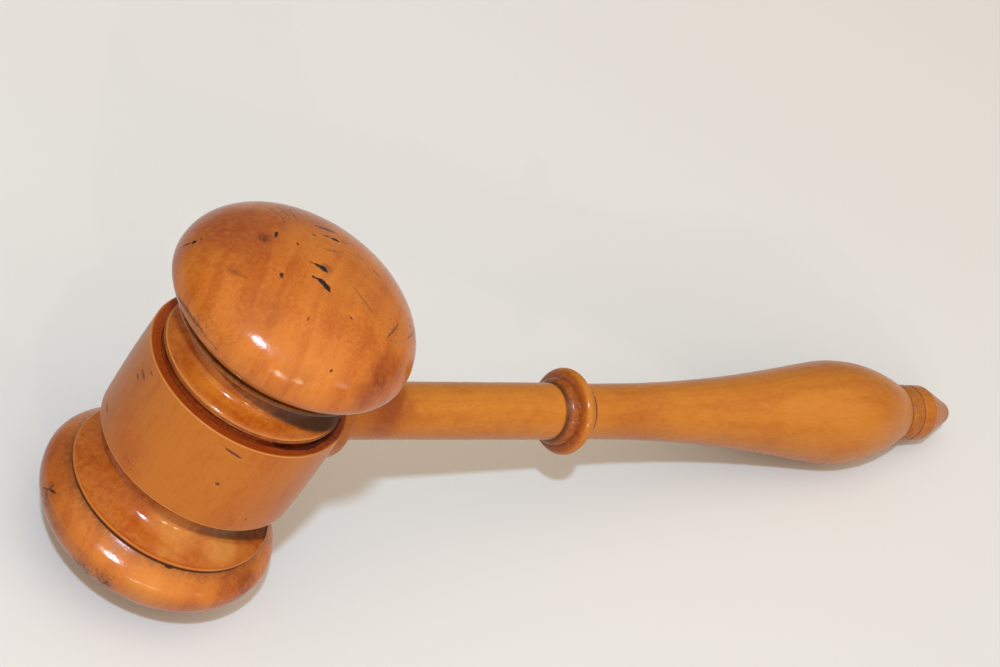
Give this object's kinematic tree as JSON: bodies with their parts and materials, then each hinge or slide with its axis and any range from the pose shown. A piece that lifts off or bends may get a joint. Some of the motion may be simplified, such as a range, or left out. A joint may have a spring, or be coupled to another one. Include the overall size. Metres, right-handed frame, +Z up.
{
  "type": "gavel",
  "caption": "Auction gavel of turned, varnished wood: a short waisted head with domed striking caps on a slim handle with a ring bead, a swelling grip and a finial.",
  "frame": {"origin": "middle of the bounding box, on the surface that the gavel rests on", "axes": "+Z up from that surface, +X from the head towards the tip of the handle; at rest the handle slopes down to the grip by about 9.6 degrees"},
  "size_m": [0.2718, 0.056, 0.0934],
  "materials": {
    "barrel_wood": "satin",
    "neck_wood": "gloss",
    "cap_wood": "gloss",
    "handle_wood": "satin"
  },
  "bodies": {
    "root": {"head_barrel": "barrel_wood", "upper_neck": "neck_wood", "upper_striking_cap": "cap_wood", "lower_neck": "neck_wood", "lower_striking_cap": "cap_wood", "handle": "handle_wood"}
  },
  "joints": []
}
